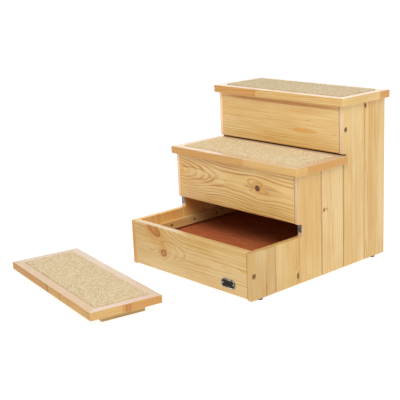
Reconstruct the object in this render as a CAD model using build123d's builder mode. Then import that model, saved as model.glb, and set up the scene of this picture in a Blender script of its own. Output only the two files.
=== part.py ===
from build123d import *
import os

# A wooden mounting block: three steps with lift-off carpeted treads over a storage space.
# X runs across the steps, -Y is the front, +Z is up. The origin is on the floor, under the
# middle of the body's footprint. All sizes are in millimetres.

os.makedirs("parts", exist_ok=True)

# ------------------------------------------------------------------ driving sizes: the body
outer_width = 493.0           # across the outside of the two side panels
board_cover = 92.0            # depth that one side board covers
board_thickness = 16.0        # side and back boards
boards_per_step = 2           # side boards under each step
step_count = 3
front_rim_height = 130.0      # top of the front board above the side panels' lower edge
front_board_lift = 2.0        # front board's lower edge above the side panels' lower edge
riser_height = 133.5          # middle and top riser boards
riser_thickness = 22.0        # front board and both risers
riser_round = 2.5
panel_edge_round = 3.0        # upright front and rear edges of the side panels
board_end_round = 1.5         # sawn ends of the side boards
back_board_count = 5

# Tongue and groove joints
vee = 3.0                     # chamfer on both faces at each joint
tongue_thickness = 5.0
tongue_depth = 6.0
tongue_clearance = 0.3

# Notches that take the rear edges of the treads under the risers
notch_depth = 13.0
lower_slot_clearance = 13.0   # above the lower tread, under the middle riser
middle_slot_clearance = 5.0   # above the middle tread, under the top riser
plate_width = 12.0
plate_shortfall = 1.5         # plate height less than the tread thickness
plate_thickness = 1.5
plate_top_gap = 4.0
plate_corner = 3.0

# Battens, posts and floor inside
batten_thickness = 12.0
batten_height = 26.0
batten_round = 1.5
lower_batten_top = 101.0      # above the side panels' lower edge
batten_below_cleat = 12.0     # free height between a tread's cleats and the batten below
post_size = 22.0
floor_top_height = 70.0       # above the side panels' lower edge
floor_thickness = 4.0
floor_clearance = 1.0
bearer_width = 16.0
bearer_height = 20.0

# Feet
glide_radius = 7.5
glide_height = 5.0
glide_round = 1.0
glide_inset = 38.0            # from the front face to the front glides
rear_glide_inset = 47.0       # from the rear face to the rear glides
glide_recess_radius = 3.0
glide_recess_depth = 2.5
nail_head_radius = 2.6
nail_head_thickness = 1.0
nail_radius = 1.0
nail_length = 18.0

# ------------------------------------------------------------------ driving sizes: the treads
tread_thickness = 22.0
rail_width = 27.0
rail_round = 2.5
rail_corner = 3.0             # upright corners of the tread frames
tread_front_overhang = 12.0
tread_side_overhang = 9.0
tread_rear_reach = 10.0       # past the riser's face, or past the back on the top tread
deck_thickness = 15.0         # board inside the frame, flush with its underside
deck_tongue = 6.0
deck_tongue_height = 6.0
deck_tongue_level = 4.0
deck_clearance = 0.2
carpet_proud = 3.0
carpet_clearance = 0.4
carpet_round = 3.0
carpet_corner = 6.0
cleat_width = 17.0
cleat_height = 20.0
cleat_length = 124.0
cleat_clearance = 2.0         # cleat to the inside of the side panel
cleat_shift = 3.0             # middle of the cleat behind the middle of the tread
cleat_screw_spacing = 80.0

# The lower tread lies on the floor in front of the steps
loose_tread_x = -160.0
loose_tread_gap = 242.0       # middle of the loose tread in front of the body's front face
loose_tread_turn = -9.7

# ------------------------------------------------------------------ driving sizes: fasteners
screw_radius = 2.0
screw_head_radius = 3.6
screw_sink = 0.6
screw_length = 24.0
cleat_screw_length = 30.0
screw_clearance = 0.1
countersink_angle = 90.0
spare_depth = 1.0             # blind holes past the ends of their screws
cross_length = 3.6
cross_width = 0.9
cross_depth = 1.5
batten_screw_shift = -8.0     # screws sit forward of each board's middle
side_screw_radius = 3.0
side_screw_head_radius = 6.9
side_screw_head_height = 3.0
side_screw_head_round = 1.0
side_screw_length = 45.0
side_screw_recess_radius = 7.3
side_screw_recess_depth = 5.0
socket_radius = 2.3
socket_depth = 2.0
pin_radius = 1.0
pin_sink = 0.8
pin_length = 24.0
pin_inset = 12.0              # from the corner of the tread
end_pin_level = 15.0          # above the underside of the frame
face_pin_level = 9.0

# Name plate, left blank
badge_x = 161.0
badge_height = 30.0           # middle of the badge above the side panels' lower edge
badge_length = 51.0
badge_width = 24.0
badge_corner = 10.0
badge_rim = 2.2
badge_field_thickness = 1.2
badge_rim_thickness = 2.2
badge_pin_radius = 1.9
badge_pin_spacing = 40.0
badge_pin_grip = 6.0
badge_pin_proud = 2.6
badge_pin_round = 0.8

# ------------------------------------------------------------------ derived places
board_count = boards_per_step * step_count
body_depth = board_count * board_cover
front_y = -body_depth / 2
back_y = body_depth / 2
step_y = [front_y + step * boards_per_step * board_cover for step in range(step_count + 1)]
inner_width = outer_width - 2 * board_thickness
inner_x = inner_width / 2
outer_x = outer_width / 2
side_middle_x = (inner_x + outer_x) / 2

panel_bottom = glide_height
plate_height = tread_thickness - plate_shortfall
slot_heights = [tread_thickness + lower_slot_clearance, tread_thickness + middle_slot_clearance]
rim_z = [panel_bottom + front_rim_height]
riser_bottom = [panel_bottom + front_board_lift]
for slot_height in slot_heights:
    riser_bottom.append(rim_z[-1] + slot_height)
    rim_z.append(riser_bottom[-1] + riser_height)

back_face_y = back_y - board_thickness
post_face_y = back_face_y - post_size
post_top = rim_z[-1] - cleat_height - batten_below_cleat
back_cover = (rim_z[-1] - panel_bottom) / back_board_count
floor_top = panel_bottom + floor_top_height
batten_tops = [panel_bottom + lower_batten_top]
for rim in rim_z[1:]:
    batten_tops.append(rim - cleat_height - batten_below_cleat)

tread_length = outer_width + 2 * tread_side_overhang
tread_depth = boards_per_step * board_cover + tread_front_overhang + tread_rear_reach
half_length = tread_length / 2
half_depth = tread_depth / 2
deck_half_length = half_length - rail_width
deck_half_depth = half_depth - rail_width
carpet_thickness = tread_thickness - deck_thickness + carpet_proud
cleat_x = inner_x - cleat_clearance - cleat_width / 2


def save(piece, name):
    """Label a finished piece and write it as a STEP file of the same name."""
    piece.part.label = name
    export_step(piece.part, f"parts/{name}.step")


def board_middle_y(index):
    """Middle of a side board, counted from the front."""
    return front_y + (index + 0.5) * board_cover


def batten_screw_y(index):
    """Place of the batten screw that holds a side board."""
    return board_middle_y(index) + batten_screw_shift


def facing_x(x, y, z, direction):
    """A place on a face whose outside points along +X or -X."""
    return Location((x, y, z), (0, 90 * direction, 0))


# ------------------------------------------------------------------ screw and pin places
def batten_middle_z(step):
    """Middle height of the battens of one step."""
    return batten_tops[step] - batten_height / 2


def batten_screw_places(side, step, x):
    """Screw places of one batten, on the plane at x, pointing into the body."""
    first = step * boards_per_step
    z = batten_middle_z(step)
    return [facing_x(side * x, batten_screw_y(index), z, -side) for index in range(first, board_count)]


def side_screw_places(side, x):
    """One screw into each end of the front board and of the top riser."""
    y_z = []
    for step in (0, step_count - 1):
        y_z.append((step_y[step] + riser_thickness / 2, (riser_bottom[step] + rim_z[step]) / 2))
    return [facing_x(side * x, y, z, side) for y, z in y_z]


def glide_places(z):
    """Glides stand under the side panels, near the front and the rear."""
    rows = (front_y + glide_inset, back_y - rear_glide_inset)
    return [(side * side_middle_x, y, z) for side in (-1, 1) for y in rows]


def back_screw_places(index, y):
    """Two screws through each back board into the posts."""
    z = panel_bottom + (index + 0.5) * back_cover
    x = inner_x - post_size / 2
    return [Location((side * x, y, z), (-90, 0, 0)) for side in (-1, 1)]


def plate_places():
    """Middles of the four notch plates, on the notches' rear faces."""
    places = []
    for step in range(1, step_count):
        z = riser_bottom[step] - plate_top_gap - plate_height / 2
        places += [(side * side_middle_x, step_y[step] + notch_depth, z) for side in (-1, 1)]
    return places


plate_screw_places = [Location((x, y - plate_thickness, z), (90, 0, 0)) for x, y, z in plate_places()]


# ------------------------------------------------------------------ fasteners
def countersunk_screw(length):
    """Cross-head screw with its head's face at the origin, pointing down."""
    taper = screw_head_radius - screw_radius
    with BuildPart() as screw:
        with BuildSketch(Plane.XZ):
            with BuildLine():
                Polyline(
                    (0, 0),
                    (screw_head_radius, 0),
                    (screw_radius, -taper),
                    (screw_radius, -length),
                    (0, -length),
                    close=True,
                )
            make_face()
        revolve(axis=Axis.Z)
        with BuildSketch(Plane.XY):
            Rectangle(cross_length, cross_width)
            Rectangle(cross_width, cross_length)
        extrude(amount=-cross_depth, mode=Mode.SUBTRACT)
    return screw.part


def countersunk_cut(depth):
    """Clearance hole for a countersunk screw whose head lies just below the face."""
    head_hole = screw_head_radius + screw_sink + screw_clearance
    CounterSinkHole(screw_radius + screw_clearance, head_hole, depth, countersink_angle)


def sunk(place, depth):
    """The same place, moved into the face."""
    return place * Location((0, 0, -depth))


inner_screw = countersunk_screw(screw_length)
with BuildPart() as glide_nail:
    Cylinder(nail_head_radius, nail_head_thickness, align=(Align.CENTER, Align.CENTER, Align.MAX))
    Cylinder(nail_radius, nail_length, align=(Align.CENTER, Align.CENTER, Align.MIN))

with BuildPart() as small_fasteners:
    for side in (-1, 1):
        for step in range(step_count):
            with Locations(*batten_screw_places(side, step, inner_x - batten_thickness)):
                add(inner_screw.moved(Location((0, 0, -screw_sink))))
    for index in range(back_board_count):
        with Locations(*back_screw_places(index, back_y)):
            add(inner_screw.moved(Location((0, 0, -screw_sink))))
    with Locations(*glide_places(glide_recess_depth)):
        add(glide_nail.part)
save(small_fasteners, "small_fasteners")

with BuildPart() as side_screw:
    Cylinder(side_screw_head_radius, side_screw_head_height, align=(Align.CENTER, Align.CENTER, Align.MIN))
    fillet(side_screw.faces().sort_by(Axis.Z)[-1].edges(), side_screw_head_round)
    with BuildSketch(Plane.XY.offset(side_screw_head_height)):
        RegularPolygon(socket_radius, 6)
    extrude(amount=-socket_depth, mode=Mode.SUBTRACT)
    Cylinder(side_screw_radius, side_screw_length, align=(Align.CENTER, Align.CENTER, Align.MAX))

with BuildPart() as side_screws:
    for side in (-1, 1):
        with Locations(*side_screw_places(side, outer_x - side_screw_recess_depth)):
            add(side_screw.part)
save(side_screws, "side_screws")


# ------------------------------------------------------------------ feet
with BuildPart() as glides:
    with BuildSketch(Plane.XY):
        with Locations(*[(x, y) for x, y, z in glide_places(0)]):
            Circle(glide_radius)
    extrude(amount=glide_height)
    fillet(glides.faces().group_by(Axis.Z)[0].edges(), glide_round)
    with Locations(*[Location(place, (180, 0, 0)) for place in glide_places(0)]):
        CounterBoreHole(
            nail_radius + screw_clearance,
            glide_recess_radius,
            glide_recess_depth,
            glide_height,
        )
save(glides, "glides")


# ------------------------------------------------------------------ side panels
def side_board(name, side, index):
    """One upright tongue and groove board of a side panel, counted from the front."""
    step = index // boards_per_step
    starts_step = index % boards_per_step == 0 and index > 0
    is_first = index == 0
    is_last = index == board_count - 1
    start = front_y + index * board_cover
    end = start + board_cover
    middle_x = side * side_middle_x
    height = rim_z[step] - panel_bottom
    with BuildPart() as board:
        with BuildSketch(Plane.XY.offset(panel_bottom)) as section:
            with Locations((middle_x, (start + end) / 2)):
                Rectangle(board_thickness, board_cover)
            front_corners = section.vertices().group_by(Axis.Y)[0]
            if is_first:
                fillet(front_corners, panel_edge_round)
            else:
                chamfer(front_corners, vee)
            rear_corners = section.vertices().group_by(Axis.Y)[-1]
            if is_last:
                fillet(rear_corners, panel_edge_round)
            else:
                chamfer(rear_corners, vee)
                with Locations((middle_x, end)):
                    Rectangle(tongue_thickness, 2 * tongue_depth)
        extrude(amount=height)
        top_edges = board.edges().filter_by(Axis.Y).group_by(Axis.Z)[-1].sort_by(Axis.X)
        fillet([top_edges[0], top_edges[-1]], board_end_round)
        if not is_first:
            previous_top = rim_z[(index - 1) // boards_per_step]
            groove_width = tongue_thickness + 2 * tongue_clearance
            groove_depth = tongue_depth + tongue_clearance
            with BuildSketch(Plane.XY.offset(panel_bottom)):
                with Locations((middle_x, start)):
                    Rectangle(groove_width, 2 * groove_depth)
            extrude(amount=previous_top - panel_bottom, mode=Mode.SUBTRACT)
        if starts_step:
            with BuildSketch(Plane.XY.offset(rim_z[step - 1])):
                with Locations((middle_x, start)):
                    Rectangle(2 * board_thickness, 2 * notch_depth)
            extrude(amount=slot_heights[step - 1], mode=Mode.SUBTRACT)
            with Locations(*plate_screw_places):
                countersunk_cut(plate_thickness + screw_length)
        for level in range(step + 1):
            place = facing_x(side * inner_x, batten_screw_y(index), batten_middle_z(level), -side)
            with Locations(place):
                Hole(screw_radius + screw_clearance, screw_length - batten_thickness + spare_depth)
        with Locations(*side_screw_places(side, outer_x)):
            CounterBoreHole(
                side_screw_radius + screw_clearance,
                side_screw_recess_radius,
                side_screw_recess_depth,
                board_thickness,
            )
        with Locations(*[Location(place, (180, 0, 0)) for place in glide_places(panel_bottom)]):
            Hole(nail_radius + screw_clearance, nail_length)
    save(board, name)


for side, side_name in ((-1, "left"), (1, "right")):
    for index in range(board_count):
        side_board(f"{side_name}_board_{index + 1}", side, index)


# ------------------------------------------------------------------ front board and risers
def badge_pin_places(y):
    """Two pins of the badge, pointing out of the front board."""
    z = panel_bottom + badge_height
    return [
        Location((badge_x + end * badge_pin_spacing / 2, y, z), (90, 0, 0)) for end in (-1, 1)
    ]


def cross_board(name, step):
    """The front board or a riser: it stands between the side panels, flush with their edges."""
    height = rim_z[step] - riser_bottom[step]
    with BuildPart() as board:
        with BuildSketch(Plane.XY.offset(riser_bottom[step])):
            with Locations((0, step_y[step] + riser_thickness / 2)):
                Rectangle(inner_width, riser_thickness)
        extrude(amount=height)
        fillet(board.edges().filter_by(Axis.X), riser_round)
        for side in (-1, 1):
            with Locations(*side_screw_places(side, inner_x)):
                Hole(side_screw_radius + screw_clearance, side_screw_length)
        if step == 0:
            with Locations(*badge_pin_places(front_y)):
                Hole(badge_pin_radius + screw_clearance, badge_pin_grip)
    save(board, name)


cross_board("front_board", 0)
cross_board("middle_riser", 1)
cross_board("top_riser", 2)


# ------------------------------------------------------------------ back
def back_board(name, index):
    """One level tongue and groove board between the side panels, counted from the bottom."""
    bottom = panel_bottom + index * back_cover
    top = bottom + back_cover
    middle_y = back_y - board_thickness / 2
    has_tongue = index < back_board_count - 1
    with BuildPart() as board:
        with BuildSketch(Plane.YZ.offset(-inner_x)) as section:
            with Locations((middle_y, (bottom + top) / 2)):
                Rectangle(board_thickness, back_cover)
            chamfer(section.vertices(), vee)
            if has_tongue:
                with Locations((middle_y, top)):
                    Rectangle(tongue_thickness, 2 * tongue_depth)
            if index > 0:
                with Locations((middle_y, bottom)):
                    Rectangle(
                        tongue_thickness + 2 * tongue_clearance,
                        2 * (tongue_depth + tongue_clearance),
                        mode=Mode.SUBTRACT,
                    )
        extrude(amount=inner_width)
        with Locations(*back_screw_places(index, back_y)):
            countersunk_cut(board_thickness)
    save(board, name)


for index in range(back_board_count):
    back_board(f"back_board_{index + 1}", index)


def rear_post(name, side):
    """Upright corner post that the back boards are screwed to."""
    with BuildPart() as post:
        with BuildSketch(Plane.XY.offset(panel_bottom)):
            with Locations((side * (inner_x - post_size / 2), (post_face_y + back_face_y) / 2)):
                Rectangle(post_size, post_size)
        extrude(amount=post_top - panel_bottom)
        for index in range(back_board_count):
            with Locations(*back_screw_places(index, back_face_y)):
                Hole(screw_radius + screw_clearance, screw_length - board_thickness + spare_depth)
    save(post, name)


rear_post("rear_post_left", -1)
rear_post("rear_post_right", 1)


# ------------------------------------------------------------------ battens and floor
def side_batten(name, side, step):
    """A batten across the inside of a side panel, with one screw into each board."""
    start = step_y[step] + riser_thickness
    with BuildPart() as batten:
        with BuildSketch(Plane.XY.offset(batten_tops[step] - batten_height)):
            with Locations((side * (inner_x - batten_thickness / 2), (start + post_face_y) / 2)):
                Rectangle(batten_thickness, post_face_y - start)
        extrude(amount=batten_height)
        inner_edges = batten.edges().filter_by(Axis.Y).group_by(Axis.X)[0 if side > 0 else -1]
        fillet(inner_edges, batten_round)
        with Locations(*batten_screw_places(side, step, inner_x - batten_thickness)):
            countersunk_cut(batten_thickness)
    save(batten, name)


for side, side_name in ((-1, "left"), (1, "right")):
    for step, level in enumerate(("lower", "middle", "upper")):
        side_batten(f"{level}_batten_{side_name}", side, step)

floor_front_y = front_y + riser_thickness
with BuildPart() as floor_bearers:
    with BuildSketch(Plane.XY.offset(floor_top - floor_thickness - bearer_height)):
        for side in (-1, 1):
            middle_x = side * (inner_x - bearer_width / 2)
            with Locations((middle_x, (floor_front_y + post_face_y) / 2)):
                Rectangle(bearer_width, post_face_y - floor_front_y)
    extrude(amount=bearer_height)
save(floor_bearers, "floor_bearers")

with BuildPart() as floor_panel:
    with BuildSketch(Plane.XY.offset(floor_top - floor_thickness)):
        with Locations((0, (floor_front_y + back_face_y) / 2)):
            Rectangle(
                inner_width - 2 * floor_clearance,
                back_face_y - floor_front_y - 2 * floor_clearance,
            )
        for side in (-1, 1):
            with Locations((side * inner_x, back_face_y)):
                corner = 2 * (post_size + floor_clearance)
                Rectangle(corner, corner, mode=Mode.SUBTRACT)
    extrude(amount=floor_thickness)
save(floor_panel, "floor_panel")


# ------------------------------------------------------------------ notch plates
with BuildPart() as notch_plate:
    with BuildSketch(Plane.XZ):
        RectangleRounded(plate_width, plate_height, plate_corner)
    extrude(amount=plate_thickness)
    with Locations(Location((0, -plate_thickness, 0), (90, 0, 0))):
        countersunk_cut(plate_thickness)

plate_screw = countersunk_screw(screw_length)
with BuildPart() as notch_plates:
    with Locations(*plate_places()):
        add(notch_plate.part)
    with Locations(*plate_screw_places):
        add(plate_screw.moved(Location((0, 0, -screw_sink))))
save(notch_plates, "notch_plates")


# ------------------------------------------------------------------ badge
badge_plane = Plane(
    origin=(badge_x, front_y, panel_bottom + badge_height),
    x_dir=(1, 0, 0),
    z_dir=(0, -1, 0),
)
with BuildPart() as badge:
    with BuildSketch(badge_plane):
        RectangleRounded(badge_length, badge_width, badge_corner)
    extrude(amount=badge_rim_thickness)
    with BuildSketch(badge_plane.offset(badge_field_thickness)):
        RectangleRounded(
            badge_length - 2 * badge_rim,
            badge_width - 2 * badge_rim,
            badge_corner - badge_rim,
        )
    extrude(amount=badge_rim_thickness, mode=Mode.SUBTRACT)
    with Locations(*badge_pin_places(front_y - badge_rim_thickness)):
        Hole(badge_pin_radius + screw_clearance, badge_rim_thickness)
save(badge, "badge")

with BuildPart() as badge_pins:
    with Locations(*[sunk(place, badge_pin_grip) for place in badge_pin_places(front_y)]):
        Cylinder(
            badge_pin_radius,
            badge_pin_grip + badge_pin_proud,
            align=(Align.CENTER, Align.CENTER, Align.MIN),
        )
    fillet(badge_pins.faces().filter_by(Axis.Y).group_by(Axis.Y)[0].edges(), badge_pin_round)
save(badge_pins, "badge_pins")


# ------------------------------------------------------------------ treads
def tread_pin_places(seat):
    """Two pins at each corner of the frame, one through each of its outer faces."""
    places = []
    for x_side in (-1, 1):
        for y_side in (-1, 1):
            end_point = (x_side * half_length, y_side * (half_depth - pin_inset), end_pin_level)
            face_point = (x_side * (half_length - pin_inset), y_side * half_depth, face_pin_level)
            places.append(seat.location * Location(end_point, (0, 90 * x_side, 0)))
            places.append(seat.location * Location(face_point, (-90 * y_side, 0, 0)))
    return places


def cleat_screw_places(seat, z):
    """Screws that come up through the cleats into the deck."""
    places = []
    for side in (-1, 1):
        for end in (-1, 1):
            y = cleat_shift + end * cleat_screw_spacing / 2
            places.append(seat.location * Location((side * cleat_x, y, z), (180, 0, 0)))
    return places


def tread_rail(name, seat, corners):
    """One mitred rail: a quarter of the frame, with the deck's groove and the pins' holes."""
    with BuildPart() as rail:
        with BuildSketch(seat):
            RectangleRounded(tread_length, tread_depth, rail_corner)
        extrude(amount=tread_thickness)
        fillet(rail.faces().filter_by(Axis.Z).edges(), rail_round)
        with BuildSketch(seat):
            with BuildLine():
                Polyline(*corners, close=True)
            make_face()
        extrude(amount=tread_thickness, mode=Mode.INTERSECT)
        with BuildSketch(seat.offset(deck_tongue_level)):
            Rectangle(
                2 * (deck_half_length + deck_tongue + deck_clearance),
                2 * (deck_half_depth + deck_tongue + deck_clearance),
            )
        extrude(amount=deck_tongue_height, mode=Mode.SUBTRACT)
        with Locations(*tread_pin_places(seat)):
            Hole(pin_radius + screw_clearance, pin_sink + pin_length)
    save(rail, name)


def tread(prefix, seat):
    """A complete tread. The seat plane is the underside of its frame."""
    front_left = (-half_length, -half_depth)
    front_right = (half_length, -half_depth)
    rear_left = (-half_length, half_depth)
    rear_right = (half_length, half_depth)
    deck_front_left = (-deck_half_length, -deck_half_depth)
    deck_front_right = (deck_half_length, -deck_half_depth)
    deck_rear_left = (-deck_half_length, deck_half_depth)
    deck_rear_right = (deck_half_length, deck_half_depth)
    front = (front_left, front_right, deck_front_right, deck_front_left)
    rear = (rear_right, rear_left, deck_rear_left, deck_rear_right)
    left = (rear_left, front_left, deck_front_left, deck_rear_left)
    right = (front_right, rear_right, deck_rear_right, deck_front_right)
    tread_rail(f"{prefix}_front_rail", seat, front)
    tread_rail(f"{prefix}_rear_rail", seat, rear)
    tread_rail(f"{prefix}_left_rail", seat, left)
    tread_rail(f"{prefix}_right_rail", seat, right)

    with BuildPart() as deck:
        with BuildSketch(seat):
            Rectangle(2 * deck_half_length, 2 * deck_half_depth)
        extrude(amount=deck_thickness)
        with BuildSketch(seat.offset(deck_tongue_level)):
            Rectangle(2 * (deck_half_length + deck_tongue), 2 * (deck_half_depth + deck_tongue))
        extrude(amount=deck_tongue_height)
        with Locations(*cleat_screw_places(seat, 0)):
            Hole(screw_radius + screw_clearance, cleat_screw_length - cleat_height + screw_sink)
    save(deck, f"{prefix}_deck")

    with BuildPart() as carpet:
        with BuildSketch(seat.offset(deck_thickness)):
            RectangleRounded(
                2 * (deck_half_length - carpet_clearance),
                2 * (deck_half_depth - carpet_clearance),
                carpet_corner,
            )
        extrude(amount=carpet_thickness)
        fillet(carpet.faces().sort_by(Axis.Z)[-1].edges(), carpet_round)
    save(carpet, f"{prefix}_carpet")

    with BuildPart() as cleats:
        with BuildSketch(seat.offset(-cleat_height)):
            with Locations((-cleat_x, cleat_shift), (cleat_x, cleat_shift)):
                Rectangle(cleat_width, cleat_length)
        extrude(amount=cleat_height)
        with Locations(*cleat_screw_places(seat, -cleat_height)):
            countersunk_cut(cleat_height)
    save(cleats, f"{prefix}_cleats")

    cleat_screw = countersunk_screw(cleat_screw_length)
    with BuildPart() as fasteners:
        with Locations(*cleat_screw_places(seat, -cleat_height)):
            add(cleat_screw.moved(Location((0, 0, -screw_sink))))
        with Locations(*[sunk(place, pin_sink) for place in tread_pin_places(seat)]):
            Cylinder(pin_radius, pin_length, align=(Align.CENTER, Align.CENTER, Align.MAX))
    save(fasteners, f"{prefix}_fasteners")


def seated_tread_y(step):
    """Middle of a tread that sits on its step."""
    return step_y[step] - tread_front_overhang + half_depth


loose_seat = Plane(
    origin=(loose_tread_x, front_y - loose_tread_gap, cleat_height),
).rotated((0, 0, loose_tread_turn))
tread("lower_tread", loose_seat)
tread("middle_tread", Plane.XY.move(Location((0, seated_tread_y(1), rim_z[1]))))
tread("top_tread", Plane.XY.move(Location((0, seated_tread_y(2), rim_z[2]))))
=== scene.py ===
import math
from collections import namedtuple

import bpy
import numpy as np
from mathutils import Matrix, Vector


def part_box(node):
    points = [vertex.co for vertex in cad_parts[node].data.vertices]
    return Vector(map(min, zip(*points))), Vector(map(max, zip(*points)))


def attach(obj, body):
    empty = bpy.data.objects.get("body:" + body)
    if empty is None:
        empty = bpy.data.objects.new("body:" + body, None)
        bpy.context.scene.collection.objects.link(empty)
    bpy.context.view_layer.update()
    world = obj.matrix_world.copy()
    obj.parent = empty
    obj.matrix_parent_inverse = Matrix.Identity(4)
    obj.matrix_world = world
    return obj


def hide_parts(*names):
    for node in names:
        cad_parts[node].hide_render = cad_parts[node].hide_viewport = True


# A varnished pine mounting block with carpeted treads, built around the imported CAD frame.
# Lengths in patterns are in millimetres; everything placed in the scene is in metres.

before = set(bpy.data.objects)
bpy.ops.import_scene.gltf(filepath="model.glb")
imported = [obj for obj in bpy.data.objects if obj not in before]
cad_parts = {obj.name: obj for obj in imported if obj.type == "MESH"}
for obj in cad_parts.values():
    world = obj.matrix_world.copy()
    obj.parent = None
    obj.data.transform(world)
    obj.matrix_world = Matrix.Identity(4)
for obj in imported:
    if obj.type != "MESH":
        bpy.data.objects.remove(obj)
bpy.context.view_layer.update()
scene = bpy.context.scene
MM = 0.001


# ------------------------------------------------------------------ camera
CAMERA_PLACE = (1.8853, -1.8817, 0.8887)
CAMERA_TURN_DEGREES = (75.185, 2.399, 48.004)
SENSOR_WIDTH_MM = 36.0
LENS_MM = 85.03
FARTHEST_SEEN = 200.0


def make_camera():
    data = bpy.data.cameras.new("camera")
    data.sensor_width = SENSOR_WIDTH_MM
    data.lens = LENS_MM
    data.clip_end = FARTHEST_SEEN
    camera = bpy.data.objects.new("camera", data)
    camera.location = CAMERA_PLACE
    camera.rotation_euler = [math.radians(angle) for angle in CAMERA_TURN_DEGREES]
    scene.collection.objects.link(camera)
    scene.camera = camera


make_camera()


# ------------------------------------------------------------------ patterns as sums of nodes
def linear(red, green, blue):
    """A colour given as 0-255 display values, as the renderer's linear colour."""
    values = []
    for value in (red, green, blue):
        part = value / 255
        values.append(part / 12.92 if part <= 0.04045 else ((part + 0.055) / 1.055) ** 2.4)
    return (*values, 1.0)


class Field:
    """A number that varies over a surface. Adding or multiplying fields adds Math nodes."""

    def __init__(self, tree, socket):
        self.tree = tree
        self.socket = socket

    def math(self, operation, other=None):
        node = self.tree.nodes.new("ShaderNodeMath")
        node.operation = operation
        for index, value in enumerate((self, other)):
            if isinstance(value, Field):
                self.tree.links.new(value.socket, node.inputs[index])
            elif value is not None:
                node.inputs[index].default_value = value
        return Field(self.tree, node.outputs[0])

    def __add__(self, other):
        return self.math("ADD", other)

    def __sub__(self, other):
        return self.math("SUBTRACT", other)

    def __mul__(self, other):
        return self.math("MULTIPLY", other)

    def __truediv__(self, other):
        return self.math("DIVIDE", other)

    def complement(self):
        return (self * -1.0) + 1.0

    def ramp(self, low, high, start=0.0, end=1.0):
        """Smooth step from start to end as this field goes from low to high."""
        node = self.tree.nodes.new("ShaderNodeMapRange")
        node.interpolation_type = "SMOOTHSTEP"
        self.tree.links.new(self.socket, node.inputs["Value"])
        node.inputs["From Min"].default_value = low
        node.inputs["From Max"].default_value = high
        node.inputs["To Min"].default_value = start
        node.inputs["To Max"].default_value = end
        return Field(self.tree, node.outputs["Result"])


def combine(tree, x, y, z):
    """The output of a vector made of three fields or numbers."""
    node = tree.nodes.new("ShaderNodeCombineXYZ")
    for index, value in enumerate((x, y, z)):
        if isinstance(value, Field):
            tree.links.new(value.socket, node.inputs[index])
        else:
            node.inputs[index].default_value = value
    return node.outputs[0]


def noise(tree, vector, detail=2.0, roughness=0.5):
    node = tree.nodes.new("ShaderNodeTexNoise")
    node.inputs["Scale"].default_value = 1.0
    node.inputs["Detail"].default_value = detail
    node.inputs["Roughness"].default_value = roughness
    tree.links.new(vector, node.inputs["Vector"])
    return Field(tree, node.outputs["Fac"])


def cells(tree, vector):
    node = tree.nodes.new("ShaderNodeTexVoronoi")
    node.inputs["Scale"].default_value = 1.0
    tree.links.new(vector, node.inputs["Vector"])
    return node


# Where Blender keeps the colour mixing node's factor, two inputs and output
MIX_FACTOR, MIX_FIRST, MIX_SECOND, MIX_RESULT = 0, 6, 7, 2


def blend_colour(tree, first, second, amount, kind="MIX"):
    """Mixes two colours, each a colour tuple or a socket, by a field or a number."""
    node = tree.nodes.new("ShaderNodeMix")
    node.data_type = "RGBA"
    node.blend_type = kind
    node.clamp_factor = True
    if isinstance(amount, Field):
        tree.links.new(amount.socket, node.inputs[MIX_FACTOR])
    else:
        node.inputs[MIX_FACTOR].default_value = amount
    for index, value in ((MIX_FIRST, first), (MIX_SECOND, second)):
        if isinstance(value, tuple):
            node.inputs[index].default_value = value
        else:
            tree.links.new(value, node.inputs[index])
    return node.outputs[MIX_RESULT]


def tinted(tree, colour, tint):
    """The colour multiplied by a plain tint."""
    return blend_colour(tree, colour, (*tint, 1.0), 1.0, "MULTIPLY")


def new_material(name, **settings):
    """A material with one shader, whose uniform values are set on its own sockets."""
    material = bpy.data.materials.new(name)
    material.use_nodes = True
    tree = material.node_tree
    shader = tree.nodes["Principled BSDF"]
    for key, value in settings.items():
        shader.inputs[key.replace("_", " ")].default_value = value
    return material, tree, shader


def split(tree, vector):
    """The three parts of a vector, as fields."""
    parts = tree.nodes.new("ShaderNodeSeparateXYZ")
    tree.links.new(vector, parts.inputs[0])
    return [Field(tree, parts.outputs[index]) for index in range(3)]


def place_fields(tree, turn=0.0, origin=(0, 0, 0)):
    """The object's own three coordinates, in millimetres from an origin turned by degrees."""
    source = tree.nodes.new("ShaderNodeTexCoord").outputs["Object"]
    mapping = tree.nodes.new("ShaderNodeMapping")
    mapping.vector_type = "TEXTURE"
    mapping.inputs["Location"].default_value = [value * MM for value in origin]
    mapping.inputs["Rotation"].default_value = (0, 0, math.radians(turn))
    mapping.inputs["Scale"].default_value = (MM, MM, MM)
    tree.links.new(source, mapping.inputs["Vector"])
    return split(tree, mapping.outputs[0])


def normal_fields(tree):
    """The three parts of the surface's direction."""
    return split(tree, tree.nodes.new("ShaderNodeTexCoord").outputs["Normal"])


def add_bump(tree, shader, height, distance, strength=1.0):
    node = tree.nodes.new("ShaderNodeBump")
    node.inputs["Strength"].default_value = strength
    node.inputs["Distance"].default_value = distance
    tree.links.new(height.socket, node.inputs["Height"])
    tree.links.new(node.outputs[0], shader.inputs["Normal"])


# ------------------------------------------------------------------ pine
PALE = linear(231, 200, 140)
STRAW = linear(221, 181, 108)
HONEY = linear(209, 154, 78)
RUST = linear(160, 86, 14)
KNOT_LIGHT = linear(204, 132, 60)
KNOT_DARK = linear(92, 34, 0)
KNOT_PINK = linear(216, 150, 88)
LATE = linear(182, 106, 24)
RESIN = linear(216, 144, 44)
# The groove line: partly the joints' own darker colour, partly painted shade in the grooves
GROOVE_LINE_AND_SHADE = linear(150, 92, 36)
# The pale colour of the painted sheen: a painted reflection of the white surroundings
PAINTED_SHEEN = linear(228, 203, 178)

# Each starts with an oval: its middle and half size along and across the grain in millimetres,
# and its lean in degrees. Softness is the share of the oval over which its edge fades.
Knot = namedtuple("Knot", "along across half_along half_across lean strength darkness")
Mark = namedtuple("Mark", "along across half_along half_across lean colour softness strength")
Loop = namedtuple("Loop", "along across half_along half_across lean strength")

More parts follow.
